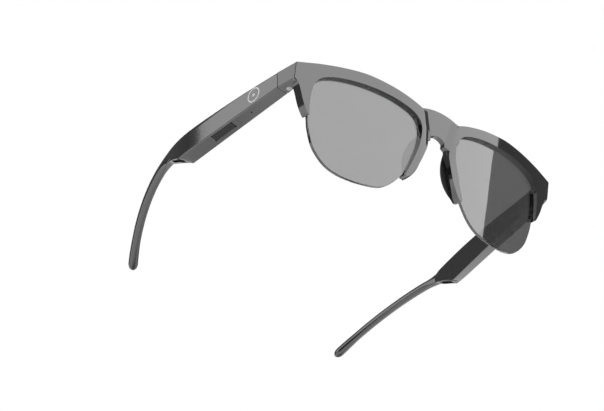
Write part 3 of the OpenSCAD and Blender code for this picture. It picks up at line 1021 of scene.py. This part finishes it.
    def walls(self, rings: list[Points], last: int, hollow: int, first_i: int, last_i: int,
              whole: bool) -> tuple[Points, list[tuple[int, ...]]]:
        """Closed wall between outer and inner rings.

        Args:
            rings: Outer rings.
            last: Ring number where the box ends.
            hollow: Ring number where the hollow ends.
            first_i: First ring point of the kept part of the box.
            last_i: Last ring point of the kept part of the box.
            whole: Whether everything behind the box belongs to this part.

        Returns:
            Vertices in the box frame, and faces.
        """
        n, total = len(rings[0]), len(rings)
        inner = [self.inner(r) for r in rings[:hollow + 1]]
        verts = np.concatenate(rings + inner)

        def o(k: int, i: int) -> int:
            """Vertex number of a point on outer ring k."""
            return k * n + i % n

        def q(k: int, i: int) -> int:
            """Vertex number of a point on inner ring k."""
            return (total + k) * n + i % n

        kept = range(first_i, last_i)
        faces: list[tuple[int, ...]] = []
        for k in range(total - 1 if whole else last):
            for i in (range(n) if k >= last else kept):
                faces.append((o(k, i), o(k, i + 1), o(k + 1, i + 1), o(k + 1, i)))
        for k in range(hollow if whole else last):
            for i in (range(n) if k >= last else kept):
                faces.append((q(k, i), q(k + 1, i), q(k + 1, i + 1), q(k, i + 1)))
            if k < last:
                for i in (first_i, last_i):
                    faces.append((o(k, i), o(k + 1, i), q(k + 1, i), q(k, i)))
        for i in kept:
            faces.append((o(0, i), q(0, i), q(0, i + 1), o(0, i + 1)))
        if whole:
            for i in range(last_i, first_i + n):
                faces.append((o(last, i), o(last, i + 1), q(last, i + 1), q(last, i)))
            faces.append(tuple(q(hollow, i) for i in range(n)))
            faces.append(tuple(o(total - 1, i) for i in range(n)))
        else:
            for i in kept:
                faces.append((o(last, i), q(last, i), q(last, i + 1), o(last, i + 1)))
        return verts, faces

    def to_bmesh(self, verts: Points, faces: Sequence[tuple[int, ...]]) -> bmesh.types.BMesh:
        """Mesh in metres, placed on the table, without unused vertices."""
        at = LAYOUT.bay(verts, self.side) * 0.001
        bm = bmesh.new()
        made = [bm.verts.new(v) for v in at]
        for f in faces:
            if len(set(f)) > 2:
                bm.faces.new([made[i] for i in f])
        loose = [v for v in bm.verts if not v.link_faces]
        bmesh.ops.delete(bm, geom=loose, context="VERTS")
        bmesh.ops.remove_doubles(bm, verts=bm.verts, dist=1e-6)
        bmesh.ops.recalc_face_normals(bm, faces=bm.faces)
        return bm

    def block(self, plan: Sequence[Point2], low: float, high: float) -> bmesh.types.BMesh:
        """Prism in the box frame, plan in (x, y), placed on the table."""
        bm = prism(plan, low, high)
        place(bm, LAYOUT.bay(rows(bm), self.side))
        bmesh.ops.recalc_face_normals(bm, faces=bm.faces)
        return bm

    def slot_cutter(self) -> bmesh.types.BMesh:
        """Stadium-shaped hole through the ramp for the speaker."""
        r, cy, cz = self.scoop
        a = self.slot_turn
        plan = [(self.slot_x + 1.15 * math.cos(t), (3.3 if math.sin(t) >= -1e-9 else -3.3)
                 + 1.15 * math.sin(t)) for t in
                [*np.linspace(0, math.pi, 13), *np.linspace(math.pi + 1e-4, 2 * math.pi, 13)]]
        bm = prism(plan, r - 2.0, r + 0.95)
        p = rows(bm)
        c, s = math.cos(a), math.sin(a)
        place(bm, LAYOUT.bay(np.stack([p[:, 0], cy + p[:, 1] * c - p[:, 2] * s,
                                       cz + p[:, 1] * s + p[:, 2] * c], 1), self.side))
        bmesh.ops.recalc_face_normals(bm, faces=bm.faces)
        return bm

    def front_wall(self) -> bmesh.types.BMesh:
        """Closing wall at the hinge end, in pieces round the leaf's slot."""
        bm = bmesh.new()
        for x0, x1, z0, z1 in ((-2.5, -1.85, -3.6, 3.9), (-0.35, 2.5, -3.3, 3.9),
                               (-1.85, -0.35, 1.4, 3.9), (-1.85, -0.35, -3.6, -1.5)):
            made = bmesh.ops.create_cube(bm, size=1.0)["verts"]
            for v in made:
                v.co = Vector(((x0 + x1) / 2 + v.co.x * (x1 - x0), 0.6 + v.co.y,
                               (z0 + z1) / 2 + v.co.z * (z1 - z0)))
        place(bm, LAYOUT.bay(rows(bm), self.side))
        return bm

    def build(self) -> None:
        """Builds the shell with its hook, and the cover."""
        lengths = self.stations()
        last = lengths.index(self.box_len)
        hollow = next(k for k, s in enumerate(lengths) if s > 69.8)
        rings = [self.station(s) for s in lengths]
        i_f, i_e = self.index(0), self.index(3)
        body = f"temple_{self.side.label}"
        n = len(rings[0])
        shell = finish_mesh(f"shell_{self.side.label}", [
            self.to_bmesh(*self.walls(rings, last, hollow, i_f, i_e, True)), self.front_wall()])
        cut_with(shell, [self.slot_cutter()])
        smooth(shell)
        add_piece(shell, body, GLOSS_BLACK, f"temple_shell_{self.side.label}")
        lowered = [r.copy() for r in rings[:last + 1]]
        for r in lowered:
            for i in (i_f, i_e):
                r[i, 2] -= self.gap * 2
        lowered[-1][:, 1] -= self.gap * 2
        cover = finish_mesh(f"cover_{self.side.label}", [
            self.to_bmesh(*self.walls(lowered, last, last, i_e, i_f + n, False))])
        cutters = [self.contact_hole(y) for y in (18.0, 22.0)] + [self.sound_hole()]
        if self.side is Side.RIGHT:
            cutters.append(self.block([(-1.0, 30.4), (2.3, 30.4), (2.3, 44.0), (-1.0, 44.0)],
                                      -9, -2.0))
        cut_with(cover, cutters)
        smooth(cover)
        add_piece(cover, body, GLOSS_BLACK, f"temple_cover_{self.side.label}")

    def contact_hole(self, y: float) -> bmesh.types.BMesh:
        """Round hole in the inner wall for a charging contact."""
        bm = prism(circle(y, 0.0, 1.0, 32), -4.0, -1.0)
        p = rows(bm)
        place(bm, LAYOUT.bay(p[:, [2, 0, 1]], self.side))
        bmesh.ops.recalc_face_normals(bm, faces=bm.faces)
        return bm

    def sound_hole(self) -> bmesh.types.BMesh:
        """Small round hole under the microphone."""
        return self.block(circle(0.4, 19.3, 0.4, 24), -7.0, -2.6)


@dataclass
class PushKey:
    """Rounded key under the wearer's right temple, a little proud of the cover."""

    temple: Temple
    x0: float = -0.9
    x1: float = 2.2
    y0: float = 30.5
    y1: float = 43.9
    proud: float = 0.25
    corner_r: float = 1.1
    top: float = -4.0
    neck_x: float = 1.7
    neck_top: float = -3.4
    flange_x: float = -1.5
    flange_top: float = -3.0

    def build(self) -> None:
        """Builds the key along the slanted underside, with its flange inside."""
        r = self.corner_r
        plan = []
        for cx, cy, a0 in ((self.x1 - r, self.y1 - r, 0.0), (self.x0 + r, self.y1 - r, 0.5),
                           (self.x0 + r, self.y0 + r, 1.0), (self.x1 - r, self.y0 + r, 1.5)):
            plan += [(cx + r * math.cos(math.pi * (a0 + t)), cy + r * math.sin(math.pi * (a0 + t)))
                     for t in np.linspace(0, 0.5, 9)]
        bm = prism(plan, -9.0, self.top)
        round_edges(bm, 0.3, 3, lambda e: max(v.co.z for v in e.verts) < -8.9, 50.0)
        strips(bm, 1, self.y0 + 1, self.y1, 1.5)
        p = rows(bm)
        t = self.temple
        half = t.box_w / 2
        outer = t.low - t.outer_fall * p[:, 1] / t.outer_run
        inner = t.low - t.inner_fall * p[:, 1] / t.box_len
        under = inner + (outer - inner) * (p[:, 0] + half) / (2 * half - 0.4) - self.proud
        lift = np.clip((p[:, 2] + 9.0) / 0.4, 0, 1)
        p[:, 2] = np.where(p[:, 2] > self.top - 0.1, self.top, under + lift * 0.3)
        place(bm, LAYOUT.bay(p, Side.RIGHT))
        neck = self._slab(self.x0, self.top - 0.05, self.neck_top)
        flange = self._slab(self.flange_x, self.neck_top - 0.05, self.flange_top)
        obj = finish_mesh("volume_push_key", [bm, neck, flange])
        smooth(obj)
        add_piece(obj, "key", KEY_BLACK, "push_key")

    def _slab(self, x0: float, low: float, high: float) -> bmesh.types.BMesh:
        """Slab above the key's body, from x0 to the neck's side, 1 mm in from both ends."""
        y0, y1 = self.y0 + 1, self.y1 - 1
        return self.temple.block([(x0, y0), (self.neck_x, y0), (self.neck_x, y1), (x0, y1)],
                                 low, high)


# ---------------------------------------------------------------- repeated small parts


@dataclass
class PatternTree:
    """A Geometry Nodes tree with named inputs, built node by node."""

    name: str
    inputs: dict[str, tuple[str, float | int]]
    tree: bpy.types.NodeTree = field(init=False)
    sockets: dict[str, str] = field(default_factory=dict)

    def __post_init__(self) -> None:
        """Makes the tree's interface and its input and output nodes."""
        self.tree = bpy.data.node_groups.new(self.name, "GeometryNodeTree")
        face = self.tree.interface
        face.new_socket("Geometry", in_out="OUTPUT", socket_type="NodeSocketGeometry")
        for label, (kind, value) in self.inputs.items():
            socket = face.new_socket(label, in_out="INPUT", socket_type=kind)
            socket.default_value = value
            self.sockets[label] = socket.identifier
        material = face.new_socket("Finish", in_out="INPUT", socket_type="NodeSocketMaterial")
        self.sockets["Finish"] = material.identifier
        self.source = self.tree.nodes.new("NodeGroupInput")
        self.sink = self.tree.nodes.new("NodeGroupOutput")

    def node(self, kind: str, **values: object) -> bpy.types.Node:
        """Adds a node; a value is a constant, an output socket, or the name of an input.

        Args:
            kind: Node type.
            **values: Input names with underscores for spaces.

        Returns:
            The new node.
        """
        made = self.tree.nodes.new(kind)
        for label, value in values.items():
            socket = made.inputs[label.replace("_", " ")]
            if isinstance(value, bpy.types.NodeSocket):
                self.tree.links.new(value, socket)
            elif isinstance(value, str):
                self.tree.links.new(self.source.outputs[value], socket)
            else:
                socket.default_value = value
        return made

    def math(self, operation: str, a: object, b: object) -> bpy.types.NodeSocket:
        """Adds a Math node and returns its output."""
        made = self.tree.nodes.new("ShaderNodeMath")
        made.operation = operation
        for socket, value in zip(made.inputs, (a, b)):
            if isinstance(value, bpy.types.NodeSocket):
                self.tree.links.new(value, socket)
            elif isinstance(value, str):
                self.tree.links.new(self.source.outputs[value], socket)
            else:
                socket.default_value = value
        return made.outputs[0]

    def close(self, *parts: bpy.types.NodeSocket) -> None:
        """Joins parts, realizes them, sets the material and ends the tree."""
        join = self.tree.nodes.new("GeometryNodeJoinGeometry")
        for part in parts:
            self.tree.links.new(part, join.inputs[0])
        real = self.node("GeometryNodeRealizeInstances", Geometry=join.outputs[0])
        done = self.node("GeometryNodeSetMaterial", Geometry=real.outputs[0], Material="Finish")
        self.tree.links.new(done.outputs[0], self.sink.inputs[0])

    def make(self, name: str, finish: Finish, **values: float | int) -> bpy.types.Object:
        """Runs the tree and returns its result as a plain mesh object.

        Args:
            name: Piece name.
            finish: Its finish.
            **values: Input values, with underscores for spaces.

        Returns:
            The new object, in the tree's own frame.
        """
        obj = new_object(name, bpy.data.meshes.new(name))
        mod = obj.modifiers.new("pattern", "NODES")
        mod.node_group = self.tree
        mod[self.sockets["Finish"]] = finish.material()
        for label, value in values.items():
            mod[self.sockets[label.replace("_", " ")]] = value
        settle(obj)
        return obj


def screw_tree() -> PatternTree:
    """Row of screws along X, heads up along Z, each with a driver slot."""
    t = PatternTree("screw_row", {
        "Count": ("NodeSocketInt", 2), "Pitch": ("NodeSocketFloat", 5.0),
        "Head Radius": ("NodeSocketFloat", 0.88), "Head Height": ("NodeSocketFloat", 0.55),
        "Shank Radius": ("NodeSocketFloat", 0.46), "Shank Length": ("NodeSocketFloat", 2.6)})
    head = t.node("GeometryNodeMeshCylinder", Vertices=32, Radius="Head Radius",
                  Depth="Head Height")
    slot = t.node("GeometryNodeMeshCube", Size=(1.3, 0.22, 0.36))
    up = t.tree.nodes.new("ShaderNodeCombineXYZ")
    t.tree.links.new(t.math("MULTIPLY", "Head Height", 0.5), up.inputs["Z"])
    lifted = t.node("GeometryNodeTransform", Geometry=slot.outputs[0], Translation=up.outputs[0])
    cut = t.tree.nodes.new("GeometryNodeMeshBoolean")
    cut.operation = "DIFFERENCE"
    t.tree.links.new(head.outputs[0], cut.inputs[0])
    t.tree.links.new(lifted.outputs[0], cut.inputs[1])
    shank = t.node("GeometryNodeMeshCylinder", Vertices=24, Radius="Shank Radius",
                   Depth="Shank Length")
    down = t.tree.nodes.new("ShaderNodeCombineXYZ")
    t.tree.links.new(t.math("MULTIPLY", "Shank Length", -0.5), down.inputs["Z"])
    sunk = t.node("GeometryNodeTransform", Geometry=shank.outputs[0],
                  Translation=down.outputs[0])
    both = t.tree.nodes.new("GeometryNodeJoinGeometry")
    t.tree.links.new(cut.outputs[0], both.inputs[0])
    t.tree.links.new(sunk.outputs[0], both.inputs[0])
    step = t.tree.nodes.new("ShaderNodeCombineXYZ")
    t.tree.links.new(t.source.outputs["Pitch"], step.inputs["X"])
    line = t.node("GeometryNodeMeshLine", Count="Count", Offset=step.outputs[0])
    spread = t.node("GeometryNodeInstanceOnPoints", Points=line.outputs[0],
                    Instance=both.outputs[0])
    t.close(spread.outputs[0])
    return t


def cloth_tree() -> PatternTree:
    """Flat wire cloth in the XY plane: wires along X and along Y at one pitch."""
    t = PatternTree("wire_cloth", {
        "Length": ("NodeSocketFloat", 9.2), "Width": ("NodeSocketFloat", 2.6),
        "Pitch": ("NodeSocketFloat", 0.3), "Wire": ("NodeSocketFloat", 0.06)})
    parts = []
    for across, along, axis, turn in (("Width", "Length", "X", (math.pi / 2, 0, 0)),
                                      ("Length", "Width", "Y", (0, math.pi / 2, 0))):
        count = t.math("ADD", t.math("DIVIDE", across, "Pitch"), 1.0)
        step = t.tree.nodes.new("ShaderNodeCombineXYZ")
        start = t.tree.nodes.new("ShaderNodeCombineXYZ")
        t.tree.links.new(t.source.outputs["Pitch"], step.inputs[axis])
        t.tree.links.new(t.math("MULTIPLY", across, -0.5), start.inputs[axis])
        line = t.node("GeometryNodeMeshLine", Count=count, Start_Location=start.outputs[0],
                      Offset=step.outputs[0])
        wire = t.node("GeometryNodeMeshCylinder", Vertices=8, Radius="Wire", Depth=along)
        laid = t.node("GeometryNodeTransform", Geometry=wire.outputs[0], Rotation=turn)
        row = t.node("GeometryNodeInstanceOnPoints", Points=line.outputs[0],
                     Instance=laid.outputs[0])
        parts.append(row.outputs[0])
    t.close(*parts)
    return t


@dataclass
class SmallParts:
    """Speaker cloths and screws, each made by a pattern tree."""

    temple: Temple
    screws: PatternTree
    cloth: PatternTree
    cloth_depth: float = 0.72

    def _set(self, obj: bpy.types.Object, move: Callable[[Points], Points]) -> None:
        """Places a pattern's vertices, given a map to millimetres on the table."""
        mesh = obj.data
        p = np.array([v.co[:] for v in mesh.vertices], float)
        bm = bmesh.new()
        bm.from_mesh(mesh)
        place(bm, move(p))
        bmesh.ops.recalc_face_normals(bm, faces=bm.faces)
        bm.to_mesh(mesh)
        bm.free()

    def build(self, side: Side) -> None:
        """Builds the cloth and the leaf screws of one temple."""
        r, cy, cz = self.temple.scoop
        c, s = math.cos(self.temple.slot_turn), math.sin(self.temple.slot_turn)

        def on_ramp(p: Points) -> Points:
            """Cloth plane to the ramp, cloth_depth under its surface."""
            z = p[:, 2] + r + self.cloth_depth
            return LAYOUT.bay(np.stack([p[:, 0] + self.temple.slot_x, cy + p[:, 1] * c - z * s,
                                        cz + p[:, 1] * s + z * c], 1), side)

        cloth = self.cloth.make(f"speaker_cloth_{side.label}", MESH_BLACK)
        self._set(cloth, on_ramp)
        smooth(cloth)
        add_piece(cloth, f"temple_{side.label}", MESH_BLACK, f"speaker_mesh_{side.label}")

        def in_leaf(p: Points) -> Points:
            """Screw row to the leaf, heads towards the head of the wearer."""
            return LAYOUT.bay(np.stack([-1.5 - p[:, 2], 4.6 + p[:, 0], p[:, 1]], 1), side)

        row = self.screws.make(f"leaf_screw_pair_{side.label}", STEEL)
        self._set(row, in_leaf)
        smooth(row)
        add_piece(row, f"temple_{side.label}", STEEL, f"leaf_screws_{side.label}")

    def base_screws(self) -> None:
        """Builds the two screws that hold the hinge bases in the front."""
        row = self.screws.make("base_screw_pair", STEEL, Pitch=0.0, Shank_Length=3.0)

        def in_base(p: Points) -> Points:
            """First screw to the left hinge base, second one mirrored to the right."""
            half = len(p) // 2
            out = np.stack([69.2 - p[:, 2], 4.9 + p[:, 0], -4.4 + p[:, 1]], 1)
            out[:half, 0] *= -1
            return LAYOUT.table(out)

        self._set(row, in_base)
        smooth(row)
        add_piece(row, "front", STEEL, "hinge_base_screws")


# ---------------------------------------------------------------- studio


@dataclass(frozen=True)
class Softbox:
    """Rectangular soft light of an even brightness; bright is the radiance of its face."""

    name: str
    at: tuple[float, float, float]
    size: tuple[float, float]
    bright: float
    aim: tuple[float, float, float] = (0.0, 0.0, 0.025)

    def build(self) -> None:
        """Adds the light; the camera doesn't see it."""
        data = bpy.data.lights.new(self.name, "AREA")
        data.shape = "RECTANGLE"
        data.size, data.size_y = self.size
        data.energy = self.bright * math.pi * self.size[0] * self.size[1]
        obj = bpy.data.objects.new(self.name, data)
        bpy.context.scene.collection.objects.link(obj)
        obj.location = self.at
        obj.rotation_mode = "QUATERNION"
        obj.rotation_quaternion = (Vector(self.aim) - Vector(self.at)).to_track_quat("-Z", "Y")
        obj.visible_camera = False


SOFTBOXES = (
    Softbox("front_box", (0.27, -1.535, 0.9), (2.7, 1.5), 1.5),
    Softbox("side_box", (-0.777, 0.267, 0.452), (0.7, 0.7), 1.0, (-0.0765, -0.012, 0.045)),
    Softbox("top_box", (-0.1, 0.3, 1.6), (1.2, 1.2), 5.0),
)


@dataclass
class Studio:
    """Camera, floor, background and soft lights."""

    camera_at: tuple[float, float, float] = (-0.737795, -1.034904, -0.683983)
    azimuth: float = -34.7835
    elevation: float = -29.3115
    roll: float = 5.5789
    lens: float = 189.55
    ambient: float = 0.14

    def camera(self) -> None:
        """Sets the camera low in front, on the wearer's right."""
        a, e = math.radians(self.azimuth), math.radians(self.elevation)
        back = Vector((math.sin(a) * math.cos(e), -math.cos(a) * math.cos(e), math.sin(e)))
        data = bpy.data.cameras.new("camera")
        data.lens, data.sensor_width = self.lens, 36.0
        data.clip_start, data.clip_end = 0.05, 50.0
        cam = bpy.data.objects.new("camera", data)
        bpy.context.scene.collection.objects.link(cam)
        cam.location = self.camera_at
        turn = (-back).to_track_quat("-Z", "Y")
        cam.rotation_mode = "QUATERNION"
        cam.rotation_quaternion = turn @ Quaternion((0, 0, 1), math.radians(self.roll))
        bpy.context.scene.camera = cam

    def world(self) -> None:
        """White background for the camera, even soft light for the rest."""
        world = bpy.data.worlds.new("studio")
        bpy.context.scene.world = world
        world.use_nodes = True
        tree = world.node_tree
        tree.nodes.clear()
        out = tree.nodes.new("ShaderNodeOutputWorld")
        seen = tree.nodes.new("ShaderNodeBackground")
        seen.inputs["Color"].default_value = (1, 1, 1, 1)
        light = tree.nodes.new("ShaderNodeBackground")
        light.inputs["Color"].default_value = (1, 1, 1, 1)
        light.inputs["Strength"].default_value = self.ambient
        path = tree.nodes.new("ShaderNodeLightPath")
        either = tree.nodes.new("ShaderNodeMath")
        either.operation = "MAXIMUM"
        mix = tree.nodes.new("ShaderNodeMixShader")
        link = tree.links.new
        link(path.outputs["Is Camera Ray"], either.inputs[0])
        link(path.outputs["Is Transmission Ray"], either.inputs[1])
        link(either.outputs[0], mix.inputs[0])
        link(light.outputs[0], mix.inputs[1])
        link(seen.outputs[0], mix.inputs[2])
        link(mix.outputs[0], out.inputs["Surface"])
        bpy.context.scene.view_settings.view_transform = "Standard"

    def floor(self) -> None:
        """Pale floor that shows only from above."""
        bm = bmesh.new()
        bmesh.ops.create_grid(bm, x_segments=8, y_segments=8, size=3.0)
        for v in bm.verts:
            v.co.z = -0.0004
        mesh = bpy.data.meshes.new("floor")
        bm.to_mesh(mesh)
        bm.free()
        obj = new_object("floor", mesh)
        mat = bpy.data.materials.new("floor_pale")
        mat.use_nodes = True
        tree = mat.node_tree
        shader = tree.nodes["Principled BSDF"]
        shader.inputs["Base Color"].default_value = (0.8, 0.8, 0.8, 1)
        shader.inputs["Roughness"].default_value = 0.7
        clear = tree.nodes.new("ShaderNodeBsdfTransparent")
        side = tree.nodes.new("ShaderNodeNewGeometry")
        mix = tree.nodes.new("ShaderNodeMixShader")
        link = tree.links.new
        link(side.outputs["Backfacing"], mix.inputs[0])
        link(shader.outputs[0], mix.inputs[1])
        link(clear.outputs[0], mix.inputs[2])
        link(mix.outputs[0], tree.nodes["Material Output"].inputs["Surface"])
        mesh.materials.append(mat)

    def build(self) -> None:
        """Sets up everything."""
        self.camera()
        self.world()
        self.floor()
        for box in SOFTBOXES:
            box.build()


# ---------------------------------------------------------------- all together


def dress_frame(frame: dict) -> None:
    """Gives every shown CAD node the finish of its material slot."""
    for part in frame["record"]["subparts"]:
        node = frame["nodes"][part["node"]]
        if not node.hide_render:
            FINISHES[part["material_slot"]].dress(node)


def main() -> None:
    """Builds the glasses and their studio."""
    logging.basicConfig(level=logging.INFO, format="%(name)s: %(message)s")
    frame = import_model()
    Studio().build()
    FrontFrame().build()
    for side in Side:
        Lens(side).build()
        NosePad(side).build()
        Temple(side).build()
    PushKey(Temple(Side.RIGHT)).build()
    small = SmallParts(Temple(Side.RIGHT), screw_tree(), cloth_tree())
    for side in Side:
        small.build(side)
    small.base_screws()
    dress_frame(frame)


if __name__ == "__main__":
    main()
